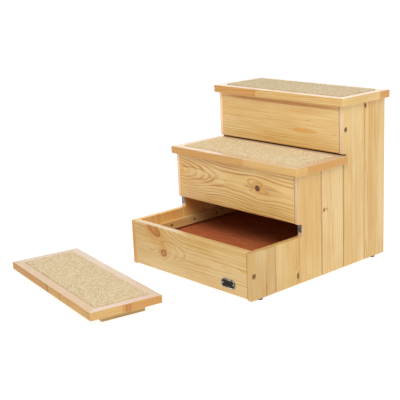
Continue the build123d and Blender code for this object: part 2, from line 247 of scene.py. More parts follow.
COAT = 0.36
SPECULAR = 0.3
COAT_ROUGHNESS = 0.14
FINGER_PITCH = 4.0        # finger joints between laths: half a tooth's width, and its length
FINGER_LENGTH = 9.0
LATH_SHIFT = 37.0         # how far aside in the tree the second lath's grain lies
LATH_SHIFT_STEP = 11.0    # and how much more each further one moves
DEAD_KNOT = 1.2           # a knot darker than this has a black heart with no rings in it
STREAKS = 0.8             # how much the tone changes from streak to streak
EDGE_WEAR = (-2.6, -0.6)  # how far inside an edge its wear starts, and is full
PINE_RELIEF = 0.00022     # metres


def ellipse_field(along, across, spot, wobble=None):
    """Distance from a spot's middle: 1 on the outline of the oval that the spot starts with."""
    middle_l, middle_w, half_l, half_w, lean = spot[:5]
    cosine = math.cos(math.radians(lean))
    sine = math.sin(math.radians(lean))
    dl = along - middle_l
    dw = across - middle_w
    main = (dl * cosine + dw * sine) / half_l
    side = (dw * cosine - dl * sine) / half_w
    field = (main * main + side * side).math("SQRT")
    return field + wobble if wobble else field


def glued_laths(l, w, along, tone, laths):
    """Tone of laths glued end to end, and how far aside in the tree each one's grain lies."""
    warm = l * 0.0 + tone
    shift = l * 0.0
    last = tone
    for index, (start, lath_tone) in enumerate(laths):
        zigzag = (w / FINGER_PITCH).math("PINGPONG", 1.0) * FINGER_LENGTH
        step = (along + zigzag).math("GREATER_THAN", start)
        warm = warm + step * (lath_tone - last)
        shift = shift + step * (LATH_SHIFT + LATH_SHIFT_STEP * index)
        last = lath_tone
    return warm, shift


def parted_grain(ring_w, along, across, knots):
    """The grain's place across the board, where it parts around each knot."""
    for knot in knots:
        around = (knot.along, knot.across,
                  knot.half_along * 4.2 + 14.0, knot.half_across * 2.6 + 6.0, 0.0)
        reach = ellipse_field(along, across, around)
        pull = (reach * reach * -1.0).math("EXPONENT")
        ring_w = ring_w - (across - knot.across) * pull * 0.82
    return ring_w


def late_wood(tree, run_w, run_d, l, rings, seed, strength):
    """The dark part of each year's ring, fainter where the rings lie flat in the surface."""
    radius = (run_w * run_w + run_d * run_d).math("SQRT")
    years = noise(tree, combine(tree, radius / (rings * 3.0), seed, l / 900.0), 1.0)
    phase = (radius / rings + years * 1.6).math("FRACT")
    late = phase.ramp(0.42, 0.9) * phase.ramp(0.92, 1.0).complement()
    late = late * strength.ramp(0.25, 0.75, 0.35, 1.0)
    return late * (run_w.math("ABSOLUTE") / radius).ramp(0.02, 0.3, 0.3, 1.0)


def paint_marks(tree, colour, marks, along, across, wobble, fibre):
    """Soft ovals of another colour: streaks, stains and paler areas."""
    for mark in marks:
        edge = ellipse_field(along, across, mark, wobble * 0.8)
        inside = edge.ramp(1.0 - mark.softness, 1.0).complement()
        amount = inside * fibre.ramp(0.3, 0.6, 0.75, 1.0)
        colour = blend_colour(tree, colour, mark.colour, amount * mark.strength)
    return colour


def paint_loops(tree, colour, loops, along, across, wobble, strength):
    """Single dark growth rings that stand out, drawn as thin ovals."""
    for loop in loops:
        edge = ellipse_field(along, across, loop, wobble * 0.5)
        off_line = (edge - 1.0).math("ABSOLUTE")
        line = off_line.ramp(2.0 / loop.half_across, 0.3 / loop.half_across)
        amount = line * strength.ramp(0.3, 0.6, 0.2, 1.0) * loop.strength
        colour = blend_colour(tree, colour, LATE, amount)
    return colour


def paint_knots(tree, colour, knots, along, across, bend, broad):
    """Knots with a resin halo, on the broad faces only. Also returns where they are."""
    wobble = (bend - 0.5) * 0.5
    knot_all = along * 0.0
    for knot in knots:
        edge = ellipse_field(along, across, knot, wobble * 0.5) + broad.complement() * 3.0
        halo = edge.ramp(1.0, 2.2).complement() * 0.45
        colour = blend_colour(tree, colour, RESIN, halo * knot.strength)
        inside = edge.ramp(0.86, 1.02).complement()
        if knot.darkness > DEAD_KNOT:
            heart = blend_colour(tree, KNOT_DARK, KNOT_LIGHT, edge.ramp(0.6, 0.1) * 0.22)
        else:
            turns = (edge * 3.2 + bend * 0.8).math("FRACT").ramp(0.2, 1.0)
            bark = edge.ramp(0.62, 0.95)
            heart = blend_colour(tree, KNOT_LIGHT, KNOT_DARK, turns * 0.45 * knot.darkness)
            heart = blend_colour(tree, heart, KNOT_PINK, edge.ramp(0.40, 0.05) * 0.8)
            heart = blend_colour(tree, heart, KNOT_DARK, bark * 0.8 * knot.darkness)
        colour = blend_colour(tree, colour, heart, inside * knot.strength)
        knot_all = knot_all.math("MAXIMUM", inside)
    return colour, knot_all


def worn_edges(tree, places, half):
    """How far the varnish is rubbed at the board's edges, unevenly."""
    near_l, near_w, near_d = [
        (place.math("ABSOLUTE") - size).ramp(*EDGE_WEAR) for place, size in zip(places, half)
    ]
    edges = (near_w * near_d).math("MAXIMUM", near_l * near_w).math("MAXIMUM", near_l * near_d)
    l, w, d = places
    return edges * noise(tree, combine(tree, l / 14.0, w / 6.0, d / 6.0), 3.0).ramp(0.35, 0.65)


def joint_flanks(broad, w, along, free_above):
    """The slanting flanks of the grooves between boards, except on a free front edge."""
    flank = broad.ramp(0.5, 0.65) * broad.ramp(0.78, 0.9).complement()
    if free_above is None:
        return flank
    joined = w.math("GREATER_THAN", 0.0) + along.math("LESS_THAN", free_above)
    return flank * joined.math("MINIMUM", 1.0)


def pine(name, axes, middle, half, seed, tone=0.4, rings=4.0, pith=(80, 60), slope=(0.02, 0.0),
         dive=None, contrast=0.5, wave=2.0, knots=(), marks=(), loops=(), laths=(), turn=0.0,
         origin=(0, 0, 0), groove=0.0, free_above=None, painted_sheen=0.0, painted_sheen_on="Z", tint=(1, 1, 1),
         gloss=1.0):
    """Varnished pine with its own growth rings, knots, streaks, end grain and worn edges.

    axes says which of X, Y and Z runs along the grain, across it and into the board. middle and
    half are the board's middle and half size along them. rings is the width of a year's growth.
    pith is the tree's axis, across and into the board from its middle, and slope is how it runs
    out along the grain. dive is where along the board the axis sinks deeper and by how much,
    which closes the rings into arches. laths are (start, tone) of pieces glued end to end.
    groove darkens the joints to the next boards, partly their own darker line and partly painted
    shade in the grooves, and above free_above the front edge is free.
    painted_sheen paints a pale sheen, a painted reflection, on the faces that look along
    painted_sheen_on.
    """
    material, tree, shader = new_material(
        name, Coat_Weight=COAT * gloss, Coat_Roughness=COAT_ROUGHNESS,
        Specular_IOR_Level=SPECULAR * gloss
    )
    knots = [Knot(*knot) for knot in knots]
    marks = [Mark(*mark) for mark in marks]
    loops = [Loop(*loop) for loop in loops]
    fields = place_fields(tree, turn, origin)
    along, across, deep = [fields["XYZ".index(axis)] for axis in axes]
    l = along - middle[0]
    w = across - middle[1]
    d = deep - middle[2]
    normals = normal_fields(tree)
    facing_end = normals["XYZ".index(axes[0])].math("ABSOLUTE").ramp(0.6, 0.9)
    facing_broad = normals["XYZ".index(axes[2])].math("ABSOLUTE")
    warm, shift = glued_laths(l, w, along, tone, laths)

    # Slow drifts and bends of the grain, and how strong the dark rings are
    drift_at = combine(tree, l / 170.0 + seed * 3.1, (w + shift) / 55.0, d / 55.0 + seed)
    drift = noise(tree, drift_at, 2.0)
    bend_at = combine(tree, l / 60.0 + seed * 1.7, (w + shift) / 34.0, d / 34.0 - seed)
    bend = noise(tree, bend_at, 2.0)
    strength_at = combine(tree, l / 120.0 - seed, (w + shift) / 22.0, d / 22.0)
    strength = noise(tree, strength_at, 3.0)
    wander = (drift - 0.5) * (4.0 * wave) + (bend - 0.5) * wave
    wobble = (bend - 0.5) * 0.5

    # Place in the tree, from its pith
    ring_w = parted_grain(w + shift * 0.6 + wander, along, across, knots)
    run_w = ring_w - l * slope[0] - pith[0]
    run_d = d + wander * 0.4 - l * slope[1] - pith[1]
    if dive:
        start, end, depth = dive
        run_d = run_d - along.ramp(start, end) * depth
    late = late_wood(tree, run_w, run_d, l, rings, seed, strength)

    # Fine fibres, pores and straight streaks
    fibre_at = combine(tree, l / 28.0, (w + shift) * 1.1, d * 1.1 + seed)
    fibre = noise(tree, fibre_at, 4.0, 0.6)
    pore_at = combine(tree, l / 9.0, (w + shift) * 1.6, d * 1.6 + seed * 2.0)
    pores = noise(tree, pore_at, 1.0).ramp(0.70, 0.80)
    streak_at = combine(tree, l / 300.0 + seed, (w + shift + wander * 0.5) / 5.5, d / 5.5)
    streak = noise(tree, streak_at, 2.0, 0.6)

    warmth = warm + (strength - 0.5) * 0.5 + (drift - 0.5) * 0.5 + (streak - 0.5) * STREAKS
    colour = blend_colour(tree, PALE, STRAW, warmth.ramp(0.0, 0.45))
    colour = blend_colour(tree, colour, HONEY, warmth.ramp(0.4, 1.0))
    colour = blend_colour(tree, colour, LATE, late * contrast)
    colour = blend_colour(tree, colour, RUST, pores * 0.18)
    colour = blend_colour(tree, colour, KNOT_DARK, fibre.ramp(0.55, 0.85, 0.0, 0.10))
    colour = blend_colour(tree, colour, PALE, fibre.ramp(0.45, 0.2, 0.0, 0.25))
    colour = paint_marks(tree, colour, marks, along, across, wobble, fibre)
    colour = paint_loops(tree, colour, loops, along, across, wobble, strength)
    broad = facing_broad.ramp(0.3, 0.6)
    colour, knot_all = paint_knots(tree, colour, knots, along, across, bend, broad)

    # End grain soaks up more varnish; groove flanks get a darker line, partly the joints' own
    # colour and partly painted shade; free edges are rubbed paler
    colour = blend_colour(tree, colour, HONEY, facing_end * 0.35)
    rub = worn_edges(tree, (l, w, d), half)
    # Groove flanks painted darker: the joints' own line plus painted shade in the V-grooves
    if groove:
        flank = joint_flanks(facing_broad, w, along, free_above)
        colour = blend_colour(tree, colour, GROOVE_LINE_AND_SHADE, flank * groove)
    else:
        colour = blend_colour(tree, colour, PALE, rub * 0.35)
    # Painted sheen: a pale painted reflection on the faces that look along one axis
    if painted_sheen:
        facing = normals["XYZ".index(painted_sheen_on)].math("ABSOLUTE").ramp(0.7, 0.95)
        soft = drift.ramp(0.2, 0.55, 0.6, 1.0) * facing * painted_sheen
        colour = blend_colour(tree, colour, PAINTED_SHEEN, soft)
    colour = tinted(tree, colour, tint)
    tree.links.new(colour, shader.inputs["Base Color"])

    rough = fibre * 0.16 + late * 0.08 + rub * 0.12 + facing_end * 0.12 + 0.26
    tree.links.new(rough.socket, shader.inputs["Roughness"])
    height = late * 0.6 + fibre * 0.5 - pores * 0.5 + knot_all * 0.4
    add_bump(tree, shader, height, PINE_RELIEF, 0.6)
    return material


def board_sizes(node, axes):
    """Middle and half size of a CAD node along the given axes, in millimetres."""
    low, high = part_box(node)
    middle = []
    half = []
    for axis in axes:
        index = "XYZ".index(axis)
        middle.append((low[index] + high[index]) / 2 / MM)
        half.append((high[index] - low[index]) / 2 / MM)
    return middle, half


def give(node, material):
    """Puts a material on every slot of a CAD node."""
    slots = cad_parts[node].material_slots
    if not slots:
        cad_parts[node].data.materials.append(material)
    for slot in slots:
        slot.material = material


def pine_board(node, axes, seed, **how):
    """Pine for a CAD node that is one straight board, or several that share a grain."""
    middle, half = board_sizes(node, axes)
    give(node, pine(f"pine_{node}", axes, middle, half, seed, **how))


# Side boards, from the front one back: places are (height, depth) in the part's frame
BROWN_STREAK = (55, -219.6, 62, 2.6, 0, RUST, 0.8, 0.45)
BROWN_STREAK_LOW = (22, -220.2, 28, 2.8, 0, RUST, 0.7, 0.6)
SIDE_LOOKS = [
    dict(tone=0.32, rings=4.4, pith=(-60, 30), contrast=0.5, slope=(0.01, 0.0),
         free_above=0, groove=0.8, tint=(0.85, 0.84, 0.84),
         marks=(BROWN_STREAK, BROWN_STREAK_LOW)),
    dict(tone=0.30, rings=3.6, pith=(90, 45), contrast=0.5, tint=(0.94, 0.94, 0.86),
         knots=((28.6, -97.0, 9, 5.5, 0, 1.0, 2.6),),
         marks=((54, -105, 10, 3.6, 6, RESIN, 0.5, 0.8), (71, -102, 10, 3.2, -4, RESIN, 0.5, 0.7),
                (13, -102, 8, 4.5, 0, RESIN, 0.5, 0.8), (110, -122, 70, 4, 2, RESIN, 0.9, 0.35))),
    # This board and the fifth get a painted sheen on their front edges: a painted reflection
    dict(tone=0.36, rings=4.0, pith=(-150, 50), contrast=0.55, free_above=135, painted_sheen=0.7,
         painted_sheen_on="Y",
         marks=((205, -20.5, 26, 2.2, 0, RESIN, 0.7, 0.6), (200, -54, 60, 1.5, 0, RESIN, 0.8, 0.6),
                (120, -40, 110, 2.0, 0, RESIN, 0.9, 0.35))),
    dict(tone=0.16, rings=5.2, pith=(50, 40), contrast=0.35, groove=0.5,
         knots=((190, 10.5, 5.5, 4.0, 20, 0.9, 2.2), (190, 22, 6.0, 2.0, -40, 0.8, 1.0)),
         marks=((130, 46, 120, 2.6, 1.5, RESIN, 0.9, 0.75), (230, 40, 60, 1.8, -2, RUST, 0.9, 0.35),
                (70, 50, 60, 1.8, 3, RUST, 0.9, 0.35))),
    dict(tone=0.30, rings=3.2, pith=(160, 60), contrast=0.5, free_above=303, painted_sheen=0.7,
         painted_sheen_on="Y", groove=0.45, tint=(1.02, 1.04, 1.08),
         marks=((200, 124, 240, 2.4, 0, HONEY, 0.9, 0.7), (250, 150, 200, 9, 0, HONEY, 0.9, 0.35),
                (430, 135, 120, 60, 0, PALE, 0.9, 0.5), (120, 135, 160, 60, 0, HONEY, 0.9, 0.15))),
    dict(tone=0.30, rings=4.2, pith=(-40, 36), contrast=0.6, slope=(0.01, 0.02),
         knots=((453, 188.5, 7, 3.6, 0, 1.0, 1.7),),
         marks=((250, 212, 260, 16, 0, HONEY, 0.6, 0.55), (400, 214, 70, 2.0, 3, RESIN, 0.7, 0.7),
                (380, 229, 90, 2.2, -2, RUST, 0.8, 0.35), (250, 262, 300, 20, 0, PALE, 0.4, 0.6))),
]


def left_look(look, shift):
    """A left board's look: the right one's, a little warmer, with its marks moved and thinned, and
    tinted brighter all over: painted light that lifts the shaded inside wall.
    """
    other = dict(look)
    other["tone"] = look["tone"] + 0.1
    # Painted light: the left boards are tinted brighter to lift the inside wall out of its shade
    other["tint"] = (1.28, 1.24, 1.22)
    other["marks"] = tuple(
        (along * 0.6 + shift, *rest) for along, *rest in look.get("marks", ())[1:]
    )
    other["knots"] = tuple(
        (along * 0.5 + shift, across + 6, *rest)
        for along, across, *rest in look.get("knots", ())[:1]
    )
    return other


def dress_side_panels():
    for index, look in enumerate(SIDE_LOOKS):
        look.setdefault("groove", 0.2)
        pine_board(f"right_board_{index + 1}", "ZYX", 2.0 + index * 1.3, **look)
        other = left_look(look, 30 + 9 * index)
        # Painted shade: a darker stripe down the left panel's front edge, taking back part of its
        # painted brightening
        if index == 0:
            other["marks"] = ((65, -276, 100, 3, 0, RUST, 0.2, 0.55),)
        pine_board(f"left_board_{index + 1}", "ZYX", 17.0 + index * 1.7, **other)


def dress_risers():
    pine_board(
        "front_board", "XZY", 5.2, tone=0.20, rings=4.6, pith=(8, 12), slope=(-0.03, 0.0),
        dive=(-190, -10, 26), contrast=0.48, wave=2.6, tint=(0.90, 0.89, 0.87),
        loops=((-62, 82, 50, 17, -10, 0.5),),
        knots=((-146, 126, 33, 16, -27, 1.0, 0.45), (-103.5, 63, 14, 11.5, 8, 1.0, 1.0)),
        marks=((-70, 97.5, 3, 2, 0, KNOT_DARK, 0.5, 0.7), (-160, 62, 14, 2.4, -12, RUST, 0.6, 0.5),
               (146, 78.5, 7, 2.4, -6, RESIN, 0.5, 0.8), (214, 82, 26, 4.5, -14, RESIN, 0.5, 0.55),
               (120, 128, 170, 9, 0, HONEY, 0.8, 0.5), (-210, 118, 30, 10, 4, HONEY, 0.8, 0.4)),
    )
    pine_board(
        "middle_riser", "XZY", 8.6, tone=0.24, rings=5.8, pith=(15, 13), slope=(-0.03, 0.0),
        dive=(-245, -40, 24), contrast=1.0, wave=3.6, tint=(1.08, 1.09, 1.0),
        knots=((94, 247, 9.5, 9.0, 0, 1.0, 2.2),),
        loops=((84, 260, 27, 10, -6, 0.6), (100, 239, 32, 8, 3, 0.4), (-176, 252, 75, 17, 1, 0.7)),
        marks=((-238, 254, 36, 6, -2, RESIN, 0.4, 0.9), (150, 250, 56, 3.0, -3, RUST, 0.8, 0.7),
               (60, 246, 28, 2.4, -3, RUST, 0.7, 0.7), (-36.7, 249, 4, 2.5, 0, RUST, 0.5, 0.7),
               (-10, 240, 42, 6, -4, RESIN, 0.9, 0.6), (-150, 236, 70, 7, 0, HONEY, 0.8, 0.5),
               (-200, 240, 90, 80, 0, HONEY, 0.9, 0.3), (210, 240, 110, 90, 0, PALE, 0.9, 0.4)),
    )
    pine_board(
        "top_riser", "XZY", 11.1, tone=0.30, rings=3.9, pith=(-90, 60), slope=(0.004, 0.0),
        contrast=0.6, wave=1.1, tint=(1.07, 1.10, 1.14),
        marks=((105, 381, 56, 7.5, 0, RESIN, 0.3, 0.85), (48, 381, 8, 3, 0, RESIN, 0.6, 0.5),
               (0, 455, 330, 6.5, -0.3, LATE, 0.55, 0.8), (117, 411, 14, 1.8, 0, RUST, 0.6, 0.6),
               (-180, 398, 80, 1.5, 0.5, RUST, 0.8, 0.45),
               (10, 403, 90, 1.5, -0.5, RUST, 0.8, 0.35),
               (150, 396, 70, 1.5, -1, RUST, 0.8, 0.4), (-60, 420, 150, 1.4, 0.4, RUST, 0.9, 0.3),
               (60, 409, 60, 1.2, 0, RESIN, 0.8, 0.5), (-140, 393, 110, 2.0, 1, RESIN, 0.8, 0.5),
               (-210, 362, 8, 1.6, 0, RUST, 0.6, 0.4), (170, 372, 40, 1.6, -2, RESIN, 0.6, 0.5),
               (-60, 345, 60, 5.0, 0, HONEY, 0.9, 0.4), (215, 381, 16, 2.2, 0, RUST, 0.6, 0.5),
               (210, 390, 180, 80, 0, PALE, 0.9, 0.35)),
    )


# A tread in its own frame, from the middle of its underside
TREAD_HALF = (255.5, 103.0, 11)
RAIL_HALF_WIDTH = 13.5
DECK_HALF = (234, 82, 7.5)
CLEATS_HALF = (62, 300, 10)

# How far back each tread lies, and its underside's height. The loose one has its own frame.
TREAD_PLACES = {"lower_tread": (0, 0), "middle_tread": (-1, 303.5), "top_tread": (183, 464)}
LOOSE = dict(turn=-9.7, origin=(-160, -518, 20))

# Tread rails: laths are where each next lath starts along the rail, and its tone
RAIL_LOOKS = {
    "top_tread_front_rail": dict(tone=1.0, laths=((-71, 0.35),), contrast=0.75, rings=5.0),
    "top_tread_right_rail": dict(tone=0.22, laths=((247, 0.95),), contrast=0.35, rings=3.4),
    "middle_tread_front_rail": dict(tone=0.92, laths=((58, 0.42),), contrast=0.34, rings=4.0),
    "middle_tread_right_rail": dict(tone=0.42, laths=((-59, 1.05),), contrast=0.45, rings=4.2),
    "lower_tread_front_rail": dict(tone=0.9, gloss=0.3, painted_sheen=1.0, tint=(0.90, 0.84, 0.72),
                                   laths=((-166, 0.75), (8, 0.6)), contrast=0.6, rings=4.6,
                                   marks=((-6, -103, 6, 7, 0, RUST, 0.6, 0.6),
                                          (75, -103, 5, 7, 0, RUST, 0.6, 0.5))),
    "lower_tread_left_rail": dict(tint=(0.82, 0.82, 0.82)),
    "lower_tread_rear_rail": dict(tint=(0.88, 0.85, 0.83)),
    "lower_tread_right_rail": dict(tone=0.5, tint=(0.95, 0.94, 1.02), laths=((-7, 1.1),),
                                   contrast=0.4, rings=3.0,
                                   marks=((4, 256, 11, 6, 0, RUST, 0.3, 0.35),
                                          (-1, 256, 2, 6, 0, RUST, 0.6, 0.35),
                                          (8, 256, 2, 6, 0, RUST, 0.6, 0.35))),
}


def dress_tread(tread, depth, base, seed):
    """Pine for a tread's rails, deck and cleats. Returns the last seed that it used."""
    where = LOOSE if tread == "lower_tread" else {}
    long_half, deep_half, thick_half = TREAD_HALF
    for rail, axes, sign in (("front", "XYZ", -1), ("rear", "XYZ", 1),
                             ("left", "YXZ", -1), ("right", "YXZ", 1)):
        seed += 2.3
        node = f"{tread}_{rail}_rail"
        if axes == "XYZ":
            across = sign * deep_half - sign * RAIL_HALF_WIDTH
            middle = (0, across + depth, base + thick_half)
            half = (long_half, RAIL_HALF_WIDTH, thick_half)
        else:
            across = sign * long_half - sign * RAIL_HALF_WIDTH
            middle = (depth, across, base + thick_half)
            half = (deep_half, RAIL_HALF_WIDTH, thick_half)
        # Each rail gets a pale painted sheen on its top faces: a painted reflection
        look = dict(tone=0.45, laths=((30 + seed, 0.75), (-90 - seed, 0.3)), rings=4.4,
                    painted_sheen=0.8, tint=(1.0, 0.98, 0.94))
        look.update(RAIL_LOOKS.get(node, {}))
        look.update(where)
        pith = (40 + 7 * math.sin(seed), 30 + 9 * math.cos(seed))
        give(node, pine(f"pine_{node}", axes, middle, half, seed, pith=pith, wave=1.4, **look))
    deck_middle = (0, depth, base + DECK_HALF[2])
    give(f"{tread}_deck", pine(f"pine_{tread}_deck", "XYZ", deck_middle, DECK_HALF,
                               seed + 1, tone=0.5, rings=3.8, **where))
    cleats_middle = (depth, 0, base - CLEATS_HALF[2])
    give(f"{tread}_cleats", pine(f"pine_{tread}_cleats", "YXZ", cleats_middle, CLEATS_HALF,
                                 seed + 2, tone=0.4, rings=3.4, contrast=0.6,
                                 tint=(0.80, 0.90, 0.86), **where))
    return seed


def dress_treads():
    seed = 30.0
    for tread, (depth, base) in TREAD_PLACES.items():
        seed = dress_tread(tread, depth, base, seed)


def dress_inside():
    for index in range(5):
        how = dict(tone=0.32 + 0.07 * (index % 3), rings=3.8 + 0.5 * index, groove=0.5,
                   pith=(20 - 30 * index, 30 + 6 * index), contrast=0.5, slope=(0.01, 0.03))
        if index in (1, 3):  # every other board has a knot
            how["knots"] = ((-120 + 90 * index, 56 + 92 * index, 11, 9, 10, 1.0, 1.0),)
        pine_board(f"back_board_{index + 1}", "XZY", 60.0 + 2.1 * index, **how)
    for side in ("left", "right"):
        for level, name in enumerate(("lower", "middle", "upper")):
            pine_board(f"{name}_batten_{side}", "YZX", 75.0 + level * 2.0 + len(side),
                       tone=0.35, rings=3.6, contrast=0.4)
        pine_board(f"rear_post_{side}", "ZYX", 90.0 + len(side), tone=0.5, rings=3.4)
    pine_board("floor_bearers", "YXZ", 97.0, tone=0.6, rings=3.6)


dress_side_panels()
dress_risers()
dress_treads()
dress_inside()


# ------------------------------------------------------------------ floor panel, metal, plastic
def hardboard():
    """Stained fibreboard with streaks of fibres, paler clouds and dark specks."""
    material, tree, shader = new_material("stained_hardboard", Specular_IOR_Level=0.35)
    x, y, z = place_fields(tree)
    streak = noise(tree, combine(tree, x / 60.0, y / 3.2, z), 4.0, 0.6)
    blot = noise(tree, combine(tree, x / 90.0, y / 70.0, z), 3.0)
    speck = noise(tree, combine(tree, x * 1.2, y * 1.2, z), 2.0).ramp(0.6, 0.75)
    colour = blend_colour(tree, linear(200, 112, 66), linear(156, 78, 40), streak.ramp(0.35, 0.7))
    colour = blend_colour(tree, colour, linear(206, 118, 72), blot.ramp(0.5, 0.8) * 0.5)
    colour = blend_colour(tree, colour, linear(84, 34, 18), speck * 0.35)
    tree.links.new(colour, shader.inputs["Base Color"])
    tree.links.new((streak * 0.2 + 0.42).socket, shader.inputs["Roughness"])
    add_bump(tree, shader, streak + speck, 0.0001, 0.6)
    return material


METAL_GRAIN = 2.2         # grains in a millimetre
METAL_RELIEF = 0.00006    # metres


def metal(name, colour_a, colour_b, roughness):
    """Metal with a fine grain, cloudy finish and small scratches."""
    material, tree, shader = new_material(name, Metallic=1.0)
    x, y, z = place_fields(tree)
    cloud = noise(tree, combine(tree, x / 7.0, y / 7.0, z / 7.0), 3.0)
    fine_at = combine(tree, x * METAL_GRAIN, y * METAL_GRAIN, z * METAL_GRAIN)
    fine = noise(tree, fine_at, 3.0, 0.7)
    scratch_at = combine(tree, (x + z) * 0.25, (y - x) * 4.0, z * 4.0)
    scratch = noise(tree, scratch_at, 2.0).ramp(0.66, 0.74)
    colour = blend_colour(tree, colour_a, colour_b, cloud.ramp(0.35, 0.65))
    colour = blend_colour(tree, colour, colour_b, fine.ramp(0.4, 0.7) * 0.4)
    tree.links.new(colour, shader.inputs["Base Color"])
    rough = fine * 0.2 + cloud * 0.1 - scratch * 0.1 + roughness
    tree.links.new(rough.socket, shader.inputs["Roughness"])
    add_bump(tree, shader, fine + scratch * -0.8, METAL_RELIEF, 0.5)
    return material


FIELD_EDGE = (0.45, 0.7)  # how far behind the rim's front the field's dark finish starts


def badge_metal_and_painted_glints():
    """Bright rim and relief over a darkened field: the field lies lower than the rim. Pale patches
    on the rim and relief are painted highlights.
    """
    material, tree, shader = new_material("badge_metal_and_painted_glints", Metallic=1.0)
    x, y, z = place_fields(tree)
    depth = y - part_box("badge")[0][1] / MM
    field = depth.ramp(*FIELD_EDGE)
    fine = noise(tree, combine(tree, x * 2.0, y * 2.0, z * 2.0), 3.0)
    # Painted highlights: pale patches that stand in for glints on the rim and relief
    painted_glint = noise(tree, combine(tree, x / 8.0, y, z / 8.0), 1.0).ramp(0.52, 0.62)
    bright = blend_colour(tree, linear(112, 108, 98), linear(150, 146, 134), fine.ramp(0.3, 0.7))
    bright = blend_colour(tree, bright, linear(232, 228, 216), painted_glint * 0.85)
    dark = blend_colour(tree, linear(34, 31, 28), linear(58, 54, 48), fine.ramp(0.4, 0.7))
    tree.links.new(blend_colour(tree, bright, dark, field), shader.inputs["Base Color"])
    rough = field * 0.14 + fine * 0.12 + 0.24
    tree.links.new(rough.socket, shader.inputs["Roughness"])
    add_bump(tree, shader, fine, 0.00005, 0.5)
    return material


def plastic():
    """Black moulded plastic with dust in its surface."""
    material, tree, shader = new_material("glide_plastic", Specular_IOR_Level=0.45)
    x, y, z = place_fields(tree)
    fine = noise(tree, combine(tree, x * 1.6, y * 1.6, z * 1.6), 3.0)
    dust = noise(tree, combine(tree, x / 5.0, y / 5.0, z / 2.0), 2.0).ramp(0.45, 0.7)
    colour = blend_colour(tree, linear(26, 25, 26), linear(74, 70, 66), dust * 0.5)
    tree.links.new(colour, shader.inputs["Base Color"])
    tree.links.new((fine * 0.2 + 0.38).socket, shader.inputs["Roughness"])
    add_bump(tree, shader, fine, 0.0001, 0.6)
    return material


steel = metal("blackened_steel", linear(62, 56, 50), linear(96, 86, 74), 0.24)
give("small_fasteners", steel)
for tread_name in ("lower_tread", "middle_tread", "top_tread"):
    give(f"{tread_name}_fasteners", steel)
bronze = metal("bronzed_steel", linear(96, 78, 54), linear(150, 128, 92), 0.22)
give("side_screws", bronze)
zinc = metal("zinc", linear(176, 182, 188), linear(120, 130, 142), 0.34)
give("notch_plates", zinc)
badge_metal = badge_metal_and_painted_glints()
give("badge", badge_metal)
give("badge_pins", metal("bright_pin", linear(238, 234, 224), linear(206, 200, 188), 0.16))
give("glides", plastic())
give("floor_panel", hardboard())


# ------------------------------------------------------------------ new pieces
def build_mesh(name, vertices, faces, smooth=True):
    """An object with a mesh made from its points, in metres, and its faces."""
    mesh = bpy.data.meshes.new(name)
    mesh.from_pydata([tuple(vertex) for vertex in vertices], [], faces)
    mesh.update()
    mesh.validate()
    for polygon in mesh.polygons:
        polygon.use_smooth = smooth
    piece = bpy.data.objects.new(name, mesh)
    scene.collection.objects.link(piece)
    return piece


# Badge relief, in millimetres
FIELD_DEPTH = 1.2         # how far the badge's field lies in front of its back
WIRE_RADIUS = 0.55
WIRE_LIFT = 0.1
RING_HALF = (12.4, 7.4)
RING_POINTS = 24
BAR_LEVELS = (-2.2, 2.2)
BAR_START = -6.0
BAR_STEP = 3.0
BAR_TAPER = (0.35, 1, 1, 1, 0.35)


def wire(name, kind, count):
    """A round wire as a curve of one spline, whose points are still to be placed."""
    curve = bpy.data.curves.new(name, "CURVE")
    curve.dimensions = "3D"
    curve.bevel_depth = WIRE_RADIUS * MM
    curve.bevel_resolution = 3
    spline = curve.splines.new(kind)
    spline.points.add(count - 1)
    return curve, spline


def badge_relief():
    """A plain raised ring and two short bars on the field: no mark and no lettering."""
    low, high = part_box("badge")
    middle = Vector(((low[0] + high[0]) / 2, high[1] - FIELD_DEPTH * MM, (low[2] + high[2]) / 2))
    ring, spline = wire("badge_ring", "NURBS", RING_POINTS)
    for index, point in enumerate(spline.points):
        angle = index / RING_POINTS * math.tau
        spot = (RING_HALF[0] * math.cos(angle), WIRE_LIFT, RING_HALF[1] * math.sin(angle))
        point.co = (*(middle + Vector(spot) * MM), 1)
    spline.use_cyclic_u = True
    curves = [ring]
    for level in BAR_LEVELS:
        bar, spline = wire("badge_bar", "POLY", len(BAR_TAPER))
        bar.use_fill_caps = True
        for index, point in enumerate(spline.points):
            spot = (BAR_START + BAR_STEP * index, WIRE_LIFT, level)
            point.co = (*(middle + Vector(spot) * MM), 1)
            point.radius = BAR_TAPER[index]
        curves.append(bar)
    for index, curve in enumerate(curves):
        holder = bpy.data.objects.new("holder", curve)
        scene.collection.objects.link(holder)
        bpy.context.view_layer.update()
        mesh = bpy.data.meshes.new_from_object(holder)
        bpy.data.objects.remove(holder)
        name = f"badge_relief_{index + 1}"
        mesh.name = name
        for polygon in mesh.polygons:
            polygon.use_smooth = True
        piece = bpy.data.objects.new(name, mesh)
        scene.collection.objects.link(piece)
        piece.data.materials.append(badge_metal)
        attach(piece, "carcass")


badge_relief()


# ------------------------------------------------------------------ carpets
# In millimetres
CARPET_HALF = (228.1, 75.6)
CARPET_CORNER = 6
CARPET_GRID = 1.25        # between the mesh's points
CARPET_BASE = 0.05        # the underside's height over the deck
TUFT_PITCH = 3.0
TUFT_HEIGHT = 1.3
SWELL_HEIGHT = 0.12       # slow waves in the pile
EDGE_REACH = 5.0          # how far in from the edge the pile rolls down, and by how much
EDGE_DROP = 2.2
LEAN = (-0.4, 1.5)        # how far the outermost loops lean out, and over the frame's top
LEAN_HEIGHT = 0.3

# As shares of a tuft's pitch, of its height, and of the edge's reach
TUFT_JITTER = 0.34
TUFT_REACH = 0.72
SMALLEST_TUFT = 0.72
LEAN_SHARE = 0.3

SWELL_WAVES = (31, 47)    # radians in a metre
TINY = 1e-9


